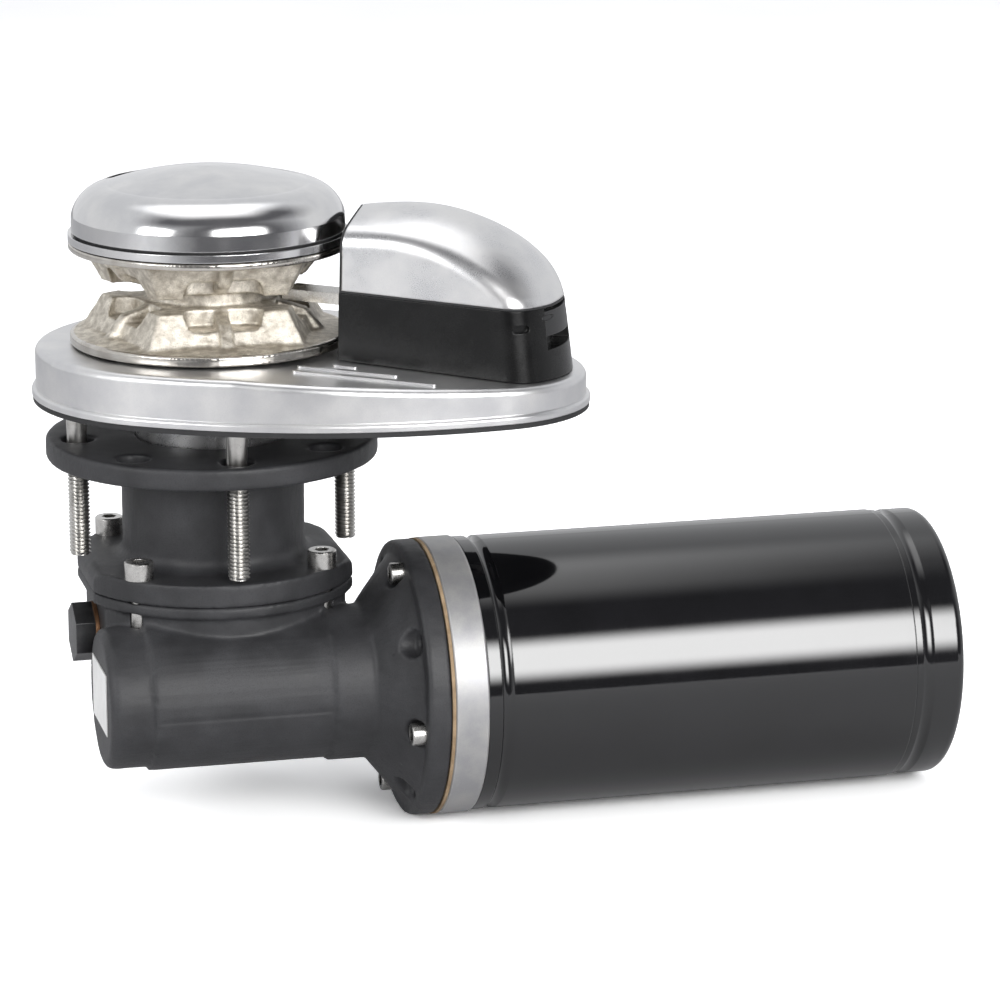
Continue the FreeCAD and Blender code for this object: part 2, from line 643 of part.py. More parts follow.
def split_above(lift):
    """Everything above the line where chrome meets plastic."""
    points = []
    for s in (-50, 250):
        points.append(base_frame(s, -150, dim("split_z") - dim("split_fall") * (s - dim("split_s")) + lift))
    points += [base_frame(250, -150, 200), base_frame(-50, -150, 200)]
    return Part.Face(Part.makePolygon(points + [points[0]])).extrude(base_frame(0, 300))


def latch_sector(inner, outer, half, low, high):
    """A curved block on the nose between two radii."""
    centre = base_frame(dim("nose_d"), 0, low)
    tube = cylinder(outer, high - low, centre)
    tube = tube.cut(cylinder(inner, high - low, centre)) if inner > 0 else tube
    first = dim("nose_angle") + dim("latch_turn") - half
    wedge = prism([centre, centre + polar(120, first), centre + polar(140, first + half),
                   centre + polar(120, first + 2 * half)], high - low)
    return tube.common(wedge)


def make_hood():
    outer = hood_block(0, dim("hood_corner_r"), dim("hood_edge_r"))
    skin = dim("hood_skin")
    inner = hood_block(skin, dim("hood_corner_r") - skin, dim("hood_edge_r") - skin)
    mouth = cylinder(dim("mouth_r"), 200, Vector(0, 0, -20))
    clear = above_top(dim("hood_gap"))
    shell = outer.cut([inner, mouth]).common(clear)
    seam = dim("trim_t")
    upper = split_above(seam)
    lower = split_above(0)
    half = dim("latch_half")
    low = dim("latch_slot_low")
    back = dim("recess_r")
    liner = latch_sector(back - 2.5, 60, half + 3, low - 3, 60).common(outer.cut(mouth))
    recess = latch_sector(back, 60, half, low, 60)
    body = shell.cut(lower).fuse(liner.cut(lower)).cut([recess, latch_pin(0)])
    body = body.cut(vent_hole())
    computed("hood_body", body.removeSplitter())
    edge = cylinder(dim("mouth_r") + seam, 200, Vector(0, 0, -20))
    computed("hood_shell", outer.cut([inner, edge]).common(upper))
    wall = hood_block(0.3, dim("hood_corner_r"), dim("hood_edge_r")).cut([inner, mouth])
    band = wall.common(split_above(0.06)).cut(split_above(seam - 0.06))
    arch = wall.common(cylinder(dim("mouth_r") + seam - 0.06, 200, Vector(0, 0, -20)))
    computed("hood_trim", band.fuse(arch.common(split_above(0.06))))
    latch = latch_sector(dim("latch_back_r"), 60, half - 0.6, dim("latch_low"), dim("latch_high"))
    latch = latch.common(hood_block(0.2, dim("hood_corner_r"), 0)).cut(latch_pin(0.06))
    computed("hood_latch", latch)
    skin_line = hood_block(0.3, dim("hood_corner_r"), 0)
    computed("latch_pin", latch_pin(0).common(skin_line))
    floor = top_height(dim("nose_d") + back) - 0.5
    catch = latch_sector(back - 8, back - 3.5, dim("catch_half"), floor, low + 3)
    computed("hood_catch", catch.common(above_top(0)))


def vent_hole():
    """Short overlapping blind drillings that make one oval hole near the corner of the nose."""
    facing = dim("vent_angle")
    wall = dim("hood_nose_r") - dim("nose_draft") * (dim("vent_z") - dim("base_tip_top"))
    middle = base_frame(dim("nose_d"), 0) + polar(wall - dim("vent_depth"), facing, dim("vent_z"))
    along = polar(dim("vent_half"), facing + 90)
    return [cylinder(dim("vent_r"), 10, middle + along * share, polar(1, facing))
            for share in (-1, -0.5, 0, 0.5, 1)]


def latch_pin(gap):
    """The latch's hinge pin, level and square to the nose, or its hole when gap is added."""
    facing = dim("nose_angle") + dim("latch_turn")
    tangent = polar(1, facing + 90)
    half = dim("latch_pin_half")
    middle = base_frame(dim("nose_d"), 0) + polar(dim("latch_pin_reach"), facing, dim("latch_pin_z"))
    return cylinder(dim("latch_pin_r") + gap, 2 * half, middle - tangent * half, tangent)


# ---------------------------------------------------------------- chain stripper

def make_stripper():
    z = dim("stripper_z")
    tall = dim("stripper_t")
    half = dim("stripper_half")
    post = base_frame(dim("post_s"), dim("post_t"), z)
    tip = polar(dim("waist_r") + 9, -25, z)
    along = (post - tip).normalize()
    side = Vector(-along.y, along.x, 0) * half
    bar = prism([tip + side, tip - side, post - side, post + side], tall)
    arm = bar.fuse(cylinder(half, tall, post))
    arm = arm.cut([cylinder(dim("waist_r") + 1.5, 40, Vector(0, 0, z - 10)),
                   cylinder(3.1, 40, post - Vector(0, 0, 10))])
    computed("chain_stripper", arm)
    foot = Vector(post.x, post.y, top_height(dim("post_s") - dim("post_r")))
    column = cylinder(dim("post_r"), z - foot.z, foot).cut(cylinder(2.6, 40, post - Vector(0, 0, 14)))
    computed("stripper_post", column)
    head = post + Vector(0, 0, tall)
    screw = cylinder(5, 4, head).fuse(cylinder(2.5, 17, head - Vector(0, 0, 17)))
    computed("stripper_screw", screw.cut(hexagon(4, 3, head + Vector(0, 0, 2), Z_AXIS)))


# ---------------------------------------------------------------- gearbox casing

def make_upper_casing():
    top = dim("flange_top")
    neck_top = top - dim("flange_t")
    foot = dim("foot_top")
    split = foot - dim("foot_t")
    flange = cylinder(dim("flange_r"), dim("flange_t"), Vector(0, 0, neck_top))
    flange = flange.makeChamfer(1.0, [e for e in flange.Edges if e.BoundBox.ZLength < 0.1])
    neck = cylinder(dim("neck_r"), neck_top - foot + 2, Vector(0, 0, foot - 1))
    half = dim("foot_half")
    plate = cylinder(dim("foot_r"), dim("foot_t"), Vector(0, 0, split))
    plate = plate.common(box(Vector(-half, -90, split), Vector(half, 90, foot)))
    corner = neck.fuse(plate).removeSplitter()
    seam = [e for e in corner.Edges if abs(e.BoundBox.ZMin - foot) < 0.01 and e.BoundBox.ZLength < 0.01
            and e.BoundBox.XLength < 2 * dim("neck_r") + 1]
    corner = corner.makeFillet(dim("neck_fillet"), seam)
    solid = corner.fuse(flange)
    tools = stud_holes(dim("stud_hole_r"), neck_top - 1, top + 1)
    tools += [cylinder(dim("stud_hole_r"), 20, polar(dim("stud_pcd") / 2, a, neck_top - 5))
              for a in SPARE_ANGLES]
    tools.append(cylinder(dim("sleeve_r") + 0.1, 40, Vector(0, 0, dim("sleeve_bottom"))))
    tools.append(cylinder(dim("seal_r"), 10, Vector(0, 0, dim("sleeve_bottom") - 8.5)))
    tools.append(cylinder(dim("shoulder_r") + 3, 200, Vector(0, 0, -150)))
    tools.append(cylinder(dim("bearing_r"), dim("bearing_t") + 2, Vector(0, 0, split - 0.8)))
    for point in casing_screw_points():
        tools.append(cylinder(4.4, 30, point - Vector(0, 0, 20)))
    computed("upper_casing", solid.cut(tools))


def casing_screw_points():
    at = dim("casing_screw_at")
    return [Vector(x, y, dim("foot_top")) for x in (-at, at) for y in (-at, at)]


def socket_screw(point, axis, shank_r, shank_len, head_r, head_t, key):
    """A cap screw whose head sits on point and whose shank runs against axis."""
    head = cylinder(head_r, head_t, point, axis)
    rim = [e for e in head.Edges if abs((e.BoundBox.Center - point).dot(axis) - head_t) < 0.01]
    head = head.makeChamfer(0.5, rim)
    shank = cylinder(shank_r, shank_len, point, axis * -1)
    return head.fuse(shank).cut(hexagon(key, head_t, point + axis * (head_t * 0.45), axis))


def make_casing_screws():
    screws = [socket_screw(p, Z_AXIS, 4.0, 30, 6.5, 8, 6) for p in casing_screw_points()]
    computed("casing_screws", Part.makeCompound(screws))


def make_lower_casing():
    split = dim("foot_top") - dim("foot_t")
    step = dim("bowl_step")
    bottom = dim("bowl_bottom")
    half = dim("foot_half")
    rim_low = split - dim("skirt_rim_t")
    rim = cylinder(dim("foot_r"), dim("skirt_rim_t"), Vector(0, 0, rim_low))
    rim = rim.common(box(Vector(-half, -90, rim_low), Vector(half, 90, split)))
    inner_half = dim("skirt_half")
    skirt_low = dim("skirt_low")
    skirt = cylinder(dim("bowl_r"), rim_low - skirt_low, Vector(0, 0, skirt_low))
    skirt = skirt.common(box(Vector(-inner_half, -90, skirt_low), Vector(inner_half, 90, rim_low)))
    bowl = cylinder(dim("bowl_low_r"), step - bottom, Vector(0, 0, bottom))
    bowl = bowl.makeFillet(8, [e for e in bowl.Edges if e.BoundBox.ZMax < bottom + 0.1])
    tube = cylinder(dim("worm_house_r"), dim("rim_x") - dim("worm_house_x"),
                    worm_point(dim("worm_house_x")), X_AXIS)
    tube = tube.makeFillet(4, [e for e in tube.Edges if e.BoundBox.XMax < dim("worm_house_x") + 0.1])
    middle = cylinder(dim("mid_house_r"), dim("rim_x") - dim("mid_house_x"),
                      worm_point(dim("mid_house_x")), X_AXIS)
    right = cylinder(dim("right_house_r"), dim("rim_x") - dim("right_house_x"),
                     worm_point(dim("right_house_x")), X_AXIS)
    cone = Part.makeCone(dim("right_house_r"), dim("rim_r") - 6, dim("rim_x") - dim("flare_x"),
                         worm_point(dim("flare_x")), X_AXIS)
    disc = cylinder(dim("rim_r"), dim("flange_x") - dim("rim_x"), worm_point(dim("rim_x")), X_AXIS)
    disc = disc.makeChamfer(1.2, [e for e in disc.Edges if e.BoundBox.XMax < dim("rim_x") + 0.1])
    solid = rim.fuse([skirt, bowl, tube, middle, right, cone, disc])
    wheel_room = cylinder(42, split - (dim("worm_z") - 14), Vector(0, 0, dim("worm_z") - 14))
    tools = [
        wheel_room,
        cylinder(dim("low_bearing_r"), 40, Vector(0, 0, dim("shaft_bottom") - 0.5)),
        cylinder(dim("small_bearing_r"), 300, worm_point(dim("worm_left") - 1), X_AXIS),
    ]
    tools += housing_lines()
    for point in casing_screw_points():
        tools.append(cylinder(4.02, 40, point - Vector(0, 0, 31)))
    for turn in range(4):
        tools.append(cylinder(3.3, 40, bolt_point(dim("bolt_turn") + 90 * turn, 60), X_AXIS))
        tools.append(cylinder(3.5, 40, bolt_point(dim("hole_turn") + 90 * turn, 60), X_AXIS))
        for angle in (dim("bolt_turn"), dim("hole_turn")):
            seat = bolt_point(angle + 90 * turn, dim("rim_x") - 26)
            tools.append(cylinder(6.4, 26, seat, X_AXIS))
    plug = Vector(dim("plug_x") + dim("plug_head"), 0, dim("plug_z"))
    boss = cylinder(dim("plug_r") + 5, 12, plug + Vector(2, 0, 0), X_AXIS)
    solid = solid.fuse(boss)
    tools.append(cylinder(dim("plug_r") + 0.02, 22, plug, X_AXIS))
    computed("lower_casing", solid.cut(tools))


def housing_lines():
    """Two level grooves along the near side of the worm housing, either side of a flat strip."""
    lines = []
    deep = dim("line_depth")
    for z in (dim("line_low"), dim("line_high")):
        for reach, first, last in ((dim("mid_house_r"), dim("mid_house_x") + 1, dim("right_house_x")),
                                   (dim("worm_house_r"), dim("worm_house_x") + 6, dim("mid_house_x"))):
            drop = z - dim("worm_z")
            skin = dim("worm_y") - math.sqrt(reach ** 2 - drop ** 2)
            lines.append(box(Vector(first, skin - 5, z), Vector(last, skin + deep, z + dim("line_w"))))
    return lines


def make_plug():
    at = Vector(dim("plug_x"), 0, dim("plug_z"))
    head = hexagon(dim("plug_flat"), dim("plug_head"), at, X_AXIS)
    shank = cylinder(dim("plug_r"), dim("plug_head") + 10, at, X_AXIS)
    computed("oil_plug", head.fuse(shank))
    washer_at = at + Vector(dim("plug_head") + 0.1, 0, 0)
    washer = cylinder(dim("plug_r") + 3.5, 1.7, washer_at, X_AXIS)
    computed("plug_washer", washer.cut(cylinder(dim("plug_r") + 0.1, 3, washer_at, X_AXIS)))


def make_label():
    low = worm_point(dim("worm_house_x") - 0.5) + Vector(0, -19, -12)
    computed("blank_label", box(low, low + Vector(0.45, 38, 28)))


# ---------------------------------------------------------------- worm drive

def make_wheel():
    pitch = dim("wheel_pitch_r")
    half = dim("wheel_half")
    low = dim("worm_z") - half
    count = int(dim("wheel_teeth"))
    root = pitch - dim("tooth_down")
    blank = cylinder(root, 2 * half, Vector(0, 0, low))
    blank = blank.cut(cylinder(dim("rim_in"), 60, Vector(0, 0, low - 9)))
    teeth = []
    for i in range(count):
        tooth = prism([Vector(root - 1, -1.45, low), Vector(pitch + dim("tooth_up"), -0.6, low),
                       Vector(pitch + dim("tooth_up"), 0.6, low), Vector(root - 1, 1.45, low)], 2 * half)
        tooth.rotate(Vector(), Z_AXIS, 360 * i / count - 90)
        teeth.append(tooth)
    computed("wheel_rim", blank.fuse(teeth))
    start = "worm_z - wheel_half"
    turned("wheel_hub", "Z", start, [("rim_in - slip", "2 * wheel_half")],
           [(f"{start} - 1", "shaft_r + slip", "40")], [key(*KEYS["wheel_hub"])])


def make_worm():
    """The worm's thread is a trapezoid swept along a helix; a tooth gap faces the wheel at rest."""
    pitch = 2 * math.pi * dim("wheel_pitch_r") / dim("wheel_teeth")
    half = dim("thread_half")
    crest = dim("worm_pitch_r") + dim("tooth_up")
    core = dim("worm_core_r")
    helix = Part.makeHelix(pitch, 2 * half, core)
    points = [Vector(core - 0.6, 0, -1.35), Vector(crest, 0, -0.5), Vector(crest, 0, 0.5),
              Vector(core - 0.6, 0, 1.35)]
    profile = Part.makePolygon(points + [points[0]])
    thread = Part.Wire(helix).makePipeShell([profile], True, True)
    turns = 2 * half / pitch
    # the thread's middle has to stand half a pitch off the tooth that points at the worm
    thread.rotate(Vector(), Z_AXIS, 90 - 360 * (turns / 2 - 0.5))
    along_motor = Placement(worm_point(-half), Rotation(Vector(0, 1, 0), 90))
    thread.Placement = along_motor.multiply(thread.Placement)
    left = dim("worm_left")
    right = dim("worm_right")
    shaft = cylinder(dim("journal_r"), right - left, worm_point(left), X_AXIS)
    body = cylinder(core, 2 * half + 12, worm_point(-half - 6), X_AXIS)
    computed("worm_shaft", shaft.fuse([body, thread]))


def make_worm_line():
    for label, start in (("worm_left_bearing", "worm_left"), ("worm_right_bearing", "right_bearing_x")):
        ring(label, "X", start, "small_bearing_t", "small_bearing_r - slip", "journal_r + slip")
    ring("motor_seal", "X", "right_bearing_x + small_bearing_t + 1", "seal_t",
         "small_bearing_r - slip", "journal_r + run")
    turned("shaft_coupling", "X", "coupling_x", [("coupling_r", "coupling_len")], [
        ("coupling_x - 1", "journal_r + slip", "coupling_len + 2"),
    ])


# ---------------------------------------------------------------- motor

def paper_gasket():
    """A PartDesign plate: a ring padded from a sketch, one bolt hole, patterned round the bore."""
    body = doc.addObject("PartDesign::Body", "paper_gasket")
    plan = body.newObject("Sketcher::SketchObject", "ring_plan")
    plan.AttachmentSupport = (origin_plane(body, "XY_Plane"), [""])
    plan.MapMode = "FlatFace"
    for index, (name, text) in enumerate((("outer", "rim_r + 0.3"), ("inner", "small_bearing_r + 14"))):
        plan.addGeometry(Part.Circle(Vector(), Z_AXIS, 50 - 10 * index))
        plan.addConstraint(Sketcher.Constraint("Coincident", index, 3, -1, 1))
        number = plan.addConstraint(Sketcher.Constraint("Radius", index, 50 - 10 * index))
        plan.renameConstraint(number, name)
        plan.setExpression(f"Constraints.{name}", expression(text))
    pad = body.newObject("PartDesign::Pad", "sheet_pad")
    pad.Profile = plan
    pad.setExpression("Length", expression("paper_t - 0.1"))
    doc.recompute()
    hole_plan = body.newObject("Sketcher::SketchObject", "hole_plan")
    hole_plan.AttachmentSupport = (origin_plane(body, "XY_Plane"), [""])
    hole_plan.MapMode = "FlatFace"
    hole_plan.addGeometry(Part.Circle(Vector(50, 10, 0), Z_AXIS, 3))
    size = hole_plan.addConstraint(Sketcher.Constraint("Radius", 0, 3.3))
    hole_plan.renameConstraint(size, "hole")
    for name, kind, text in (("across", "DistanceX", "bolt_r * cos(bolt_turn * 1deg)"),
                             ("up", "DistanceY", "bolt_r * sin(bolt_turn * 1deg)")):
        number = hole_plan.addConstraint(Sketcher.Constraint(kind, -1, 1, 0, 3, 10))
        hole_plan.renameConstraint(number, name)
        hole_plan.setExpression(f"Constraints.{name}", text.replace("bolt_", "dims.bolt_"))
    pocket = body.newObject("PartDesign::Pocket", "bolt_hole")
    pocket.Profile = hole_plan
    pocket.Type = "ThroughAll"
    pocket.Midplane = True
    doc.recompute()
    pattern = body.newObject("PartDesign::PolarPattern", "bolt_holes")
    pattern.Originals = [pocket]
    pattern.Axis = (hole_plan, ["N_Axis"])
    pattern.Occurrences = 4
    body.Tip = pattern
    # sketch X runs along +Y and sketch Y along +Z once the plate stands across the worm line
    body.Placement = Placement(Vector(), Rotation(Vector(1, 1, 1), 120))
    body.setExpression(".Placement.Base.x", expression("flange_x + 0.05"))
    body.setExpression(".Placement.Base.y", expression("worm_y"))
    body.setExpression(".Placement.Base.z", expression("worm_z"))
    keep(body, "paper_gasket")


def make_front_cover():
    start = dim("flange_x") + dim("paper_t")
    length = dim("cover_end") - start
    solid = cylinder(dim("cover_r"), length, worm_point(start), X_AXIS)
    solid = solid.makeChamfer(0.8, [e for e in solid.Edges if e.BoundBox.XLength < 0.1])
    tools = [cylinder(dim("coupling_r") + 3, 60, worm_point(start - 1), X_AXIS),
             cylinder(dim("coil_r") + 4, 60, worm_point(start + 10), X_AXIS)]
    for turn in range(4):
        tools.append(cylinder(3.02, 13, bolt_point(dim("bolt_turn") + 90 * turn, start - 1), X_AXIS))
    computed("motor_front_cover", solid.cut(tools))


def make_flange_screws():
    screws = [socket_screw(bolt_point(dim("bolt_turn") + 90 * turn, dim("rim_x")), X_AXIS * -1,
                           3.0, 22, 5, 6, 5) for turn in range(4)]
    computed("flange_screws", Part.makeCompound(screws))


def make_motor_can():
    start = dim("cover_end") + 0.1
    end = dim("tube_end")
    tube = cylinder(dim("motor_r"), end - start, worm_point(start), X_AXIS)
    tube = tube.cut(cylinder(dim("motor_r") - dim("motor_wall"), end - start, worm_point(start), X_AXIS))
    grooves = [groove_ring(dim("tube_groove_x"), dim("tube_groove_w"))]
    ways = [terminal_rod(dim("terminal_r") + 0.15, side, 50, 80) for side in (-1, 1)]
    computed("motor_casing", tube.cut(grooves + ways))
    cap_start = end + 0.1
    cap = cylinder(dim("cap_r"), dim("cap_end") - cap_start, worm_point(cap_start), X_AXIS)
    end_edges = [e for e in cap.Edges if e.BoundBox.XMin > dim("cap_end") - 0.1]
    cap = cap.makeFillet(dim("cap_edge_r"), end_edges)
    inside = cylinder(dim("cap_r") - 4, 60, worm_point(cap_start - 40), X_AXIS)
    pocket = cylinder(dim("small_bearing_r"), dim("small_bearing_t") + 0.5,
                      worm_point(dim("rear_bearing_x") - 0.2), X_AXIS)
    boss = cylinder(dim("small_bearing_r") + 4, 20, worm_point(cap_start + 4), X_AXIS)
    room = cylinder(dim("cap_r") - 4, dim("cap_end") - cap_start - 4, worm_point(cap_start - 0.1), X_AXIS)
    way = cylinder(dim("journal_r") + 2, dim("rear_bearing_x") - cap_start + 2, worm_point(cap_start), X_AXIS)
    cap = cap.cut(room).fuse(boss).cut([pocket, way, groove_ring(dim("cap_groove_x"), dim("cap_groove_w"))])
    cap = cap.common(cylinder(dim("cap_r"), dim("cap_end") - cap_start, worm_point(cap_start), X_AXIS))
    computed("motor_end_cap", cap)


def groove_ring(x, wide):
    """A smooth rolled groove: the ring that its rounded bottom would fill."""
    deep = dim("groove_d")
    round_r = ((wide / 2) ** 2 + deep ** 2) / (2 * deep)
    centre_r = dim("motor_r") - deep + round_r
    return Part.makeTorus(centre_r, round_r, worm_point(x), X_AXIS)


def terminal_rod(radius, side, start, end):
    """A rod that points away from the motor's back, above or below its middle."""
    at = worm_point(dim("terminal_x")) + Vector(0, start, side * dim("terminal_up"))
    return cylinder(radius, end - start, at, Y_AXIS)


def make_terminals():
    can = cylinder(dim("motor_r") + 0.05, 60, worm_point(dim("terminal_x") - 30), X_AXIS)
    studs = []
    collars = []
    for side in (-1, 1):
        shank = terminal_rod(dim("terminal_shank_r"), side, dim("terminal_in"), dim("terminal_out"))
        tip = terminal_rod(dim("terminal_r"), side, dim("collar_out") + 0.1, dim("terminal_out"))
        studs.append(shank.fuse(tip))
        way = terminal_rod(dim("terminal_shank_r") + 0.1, side, 50, 80)
        collars.append(terminal_rod(dim("collar_r"), side, 55, dim("collar_out")).cut([can, way]))
    computed("motor_terminals", Part.makeCompound(studs))
    computed("terminal_collars", Part.makeCompound(collars))


def make_motor_inside():
    magnets = []
    start = dim("magnet_start")
    for turn in range(4):
        arc = cylinder(dim("magnet_r"), dim("magnet_len"), worm_point(start), X_AXIS)
        arc = arc.cut(cylinder(dim("magnet_r") - dim("magnet_t"), 400, worm_point(0), X_AXIS))
        span = Part.makeBox(dim("magnet_len"), 70, 60, worm_point(start) + Vector(0, 10, -30))
        span.rotate(worm_point(start), X_AXIS, 90 * turn)
        magnets.append(arc.common(span))
    computed("field_magnets", Part.makeCompound(magnets))
    turned("rotor_shaft", "X", "worm_right + 4", [("journal_r", "rotor_end - worm_right - 4")])
    ring("rotor_core", "X", "core_start", "core_len", "core_r", "journal_r + slip")
    coils = []
    for x in (dim("core_start") - dim("coil_t") - 0.1, dim("core_start") + dim("core_len") + 0.1):
        coil = cylinder(dim("coil_r"), dim("coil_t"), worm_point(x), X_AXIS)
        coils.append(coil.cut(cylinder(dim("coil_in"), 40, worm_point(x - 5), X_AXIS)))
    computed("rotor_windings", Part.makeCompound(coils))
    ring("commutator", "X", "commutator_x", "commutator_len", "commutator_r", "journal_r + slip")
    brushes = []
    holders = []
    plate = dim("brush_plate_x")
    for turn in range(4):
        brush = Part.makeBox(dim("brush_w"), 14, 12, worm_point(dim("brush_x")) + Vector(0, 21.4, -6))
        brush.rotate(worm_point(0), X_AXIS, 90 * turn + 45)
        holder = Part.makeBox(11, 15, 13, worm_point(plate - 0.5) + Vector(0, 21.2, -6.5))
        holder.rotate(worm_point(0), X_AXIS, 90 * turn + 45)
        brushes.append(brush)
        holders.append(holder)
    computed("brushes", Part.makeCompound(brushes))
    disc = cylinder(dim("magnet_r") - 1.5, dim("brush_plate_t"), worm_point(plate), X_AXIS)
    disc = disc.cut([cylinder(30, 40, worm_point(plate - 9), X_AXIS)] + holders)
    computed("brush_plate", disc)
    ring("motor_rear_bearing", "X", "rear_bearing_x", "small_bearing_t", "small_bearing_r - slip",
         "journal_r + slip")


# ---------------------------------------------------------------- build, check, write

make_gasket()
make_base()
make_studs()
make_shaft_line()
make_keys()
make_clutch()
make_gypsy()
make_dome()
make_hood()
make_stripper()
make_upper_casing()
make_casing_screws()
make_lower_casing()
make_plug()
make_label()
make_wheel()
make_worm()
make_worm_line()
paper_gasket()
make_front_cover()
make_flange_screws()
make_motor_can()
make_terminals()
make_motor_inside()

doc.recompute()
for obj in doc.Objects:
    if "Invalid" in obj.State or "Error" in obj.State:
        raise RuntimeError(f"{obj.Label} failed: {obj.State}")
os.makedirs("parts", exist_ok=True)
for node in nodes:
    if node.Shape.isNull() or not node.Shape.isValid():
        raise RuntimeError(f"{node.Label} has no valid shape")
    node.Shape.exportStep(f"parts/{node.Label}.step")
    print(f"{node.Label:22s} solids {len(node.Shape.Solids)} volume {node.Shape.Volume / 1000:9.2f} cm3")
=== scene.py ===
import json
import math

import bmesh
import bpy
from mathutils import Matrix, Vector, noise


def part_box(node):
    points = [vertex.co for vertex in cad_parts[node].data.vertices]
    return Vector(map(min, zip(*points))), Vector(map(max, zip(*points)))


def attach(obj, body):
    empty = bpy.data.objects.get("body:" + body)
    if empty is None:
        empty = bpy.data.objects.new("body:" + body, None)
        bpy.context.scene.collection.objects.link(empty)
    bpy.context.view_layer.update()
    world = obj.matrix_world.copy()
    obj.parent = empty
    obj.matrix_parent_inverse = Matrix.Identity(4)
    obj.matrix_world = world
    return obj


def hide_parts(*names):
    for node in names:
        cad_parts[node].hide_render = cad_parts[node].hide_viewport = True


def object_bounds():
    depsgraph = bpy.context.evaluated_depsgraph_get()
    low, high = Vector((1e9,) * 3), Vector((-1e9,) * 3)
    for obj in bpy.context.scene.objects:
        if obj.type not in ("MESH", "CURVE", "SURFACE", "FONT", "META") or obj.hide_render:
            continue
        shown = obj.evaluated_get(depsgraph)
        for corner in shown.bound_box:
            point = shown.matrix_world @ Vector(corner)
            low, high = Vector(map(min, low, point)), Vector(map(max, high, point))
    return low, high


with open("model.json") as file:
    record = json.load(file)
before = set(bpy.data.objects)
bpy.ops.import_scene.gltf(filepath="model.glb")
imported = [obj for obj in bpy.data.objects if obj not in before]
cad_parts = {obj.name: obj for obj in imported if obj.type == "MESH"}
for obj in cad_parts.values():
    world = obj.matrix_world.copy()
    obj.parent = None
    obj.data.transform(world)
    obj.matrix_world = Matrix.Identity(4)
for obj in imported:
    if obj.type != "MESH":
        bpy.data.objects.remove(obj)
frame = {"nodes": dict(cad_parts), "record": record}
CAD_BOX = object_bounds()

# A vertical anchor windlass: its looks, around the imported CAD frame.
# Metres; +Z is up the main shaft and +X is along the motor.

MM = 0.001
CAMERA_PLACE = (-0.31924, -1.76806, 0.40596)
CAMERA_AZIMUTH = math.radians(14.40)
CAMERA_DOWN = math.radians(14.271)
CAMERA_LENS = 146.3
SENSOR = 36.0
FLOOR_NEAR = -0.95
FLOOR_FAR = 4.0
FLOOR_HALF = 3.0
WELD = 0.001 * MM
EDGE_SAMPLES = 6
CASTING_VOXEL = 1.0 * MM
CASTING_ROUNDS = 4
CASTING_FACES = 110000
CASTING_SKIN = ((0.9 * MM, 0.10 * MM), (6 * MM, 0.12 * MM))
GYPSY_VOXEL = 0.7 * MM
GYPSY_ROUNDS = 3
GYPSY_FACES = 150000
GYPSY_SKIN = ((0.9 * MM, 0.16 * MM), (6 * MM, 0.25 * MM))
GYPSY_TURNED_R = 61.0 * MM
GYPSY_FACED_DEPTH = 0.6 * MM
STUD_R = 5.0 * MM
STUD_ROOT_R = 4.0 * MM
STUD_PLAIN_TOP = 0.0
STUD_SHOULDER = 0.01 * MM
STUD_THREAD_TOP = -20.0 * MM
STUD_PITCH = 1.75 * MM
STUD_THREAD_DEPTH = 1.0 * MM
STUD_STEP = 0.25 * MM
STUD_SIDES = 36
STUD_CREASE = math.radians(35)
LIGHT_TARGET = Vector((0.05, -0.03, 0.0))
PAPER_LIT = ((0.62, 0.62, 0.63), (0.64, 0.64, 0.65))
PAPER_SEEN = ((1.50, 1.50, 1.50), (1.55, 1.55, 1.55))
STUDIO_BRIGHT = (0.94, 0.95, 0.97)
STUDIO_DARK = (0.16, 0.16, 0.17)
STUDIO_STRENGTH = 0.9
STUDIO_DARK_WAY = (0.25, -0.95, 0.20)


# ---------------------------------------------------------------- helpers

def new_object(name, data):
    obj = bpy.data.objects.new(name, data)
    bpy.context.scene.collection.objects.link(obj)
    return obj


def new_material(name):
    """A node material and its tree, with the principled shader already in it."""
    material = bpy.data.materials.new(name)
    material.use_nodes = True
    return material, material.node_tree, material.node_tree.nodes["Principled BSDF"]


def add(tree, kind, inputs=None, **settings):
    """A node with its settings and inputs; an input that is a socket is linked."""
    node = tree.nodes.new(kind)
    for key, value in settings.items():
        setattr(node, key, value)
    for key, value in (inputs or {}).items():
        if isinstance(value, bpy.types.NodeSocket):
            tree.links.new(value, node.inputs[key])
        else:
            node.inputs[key].default_value = value
    return node


def coords(tree, stretch=(1, 1, 1)):
    place = add(tree, "ShaderNodeTexCoord").outputs["Object"]
    return add(tree, "ShaderNodeMapping", {"Vector": place, "Scale": stretch}).outputs["Vector"]


def grain(tree, size, detail=2.0, stretch=(1, 1, 1), rough=0.55):
    """Noise whose features are about size metres across."""
    return add(tree, "ShaderNodeTexNoise", {
        "Vector": coords(tree, stretch), "Scale": 1 / size, "Detail": detail, "Roughness": rough,
    }).outputs["Fac"]


def spread(tree, value, low, high, start=0.35, end=0.65):
    """A value between start and end turned into one between low and high."""
    return add(tree, "ShaderNodeMapRange", {
        "Value": value, "From Min": start, "From Max": end, "To Min": low, "To Max": high,
    }).outputs["Result"]


def maths(tree, operation, first, second=0.0):
    return add(tree, "ShaderNodeMath", {0: first, 1: second}, operation=operation).outputs[0]


def blend_colour(tree, share, first, second):
    node = add(tree, "ShaderNodeMix", {"Factor": share}, data_type="RGBA")
    for socket, value in ((node.inputs[6], first), (node.inputs[7], second)):
        if isinstance(value, bpy.types.NodeSocket):
            tree.links.new(value, socket)
        else:
            socket.default_value = (*value, 1)
    return node.outputs[2]


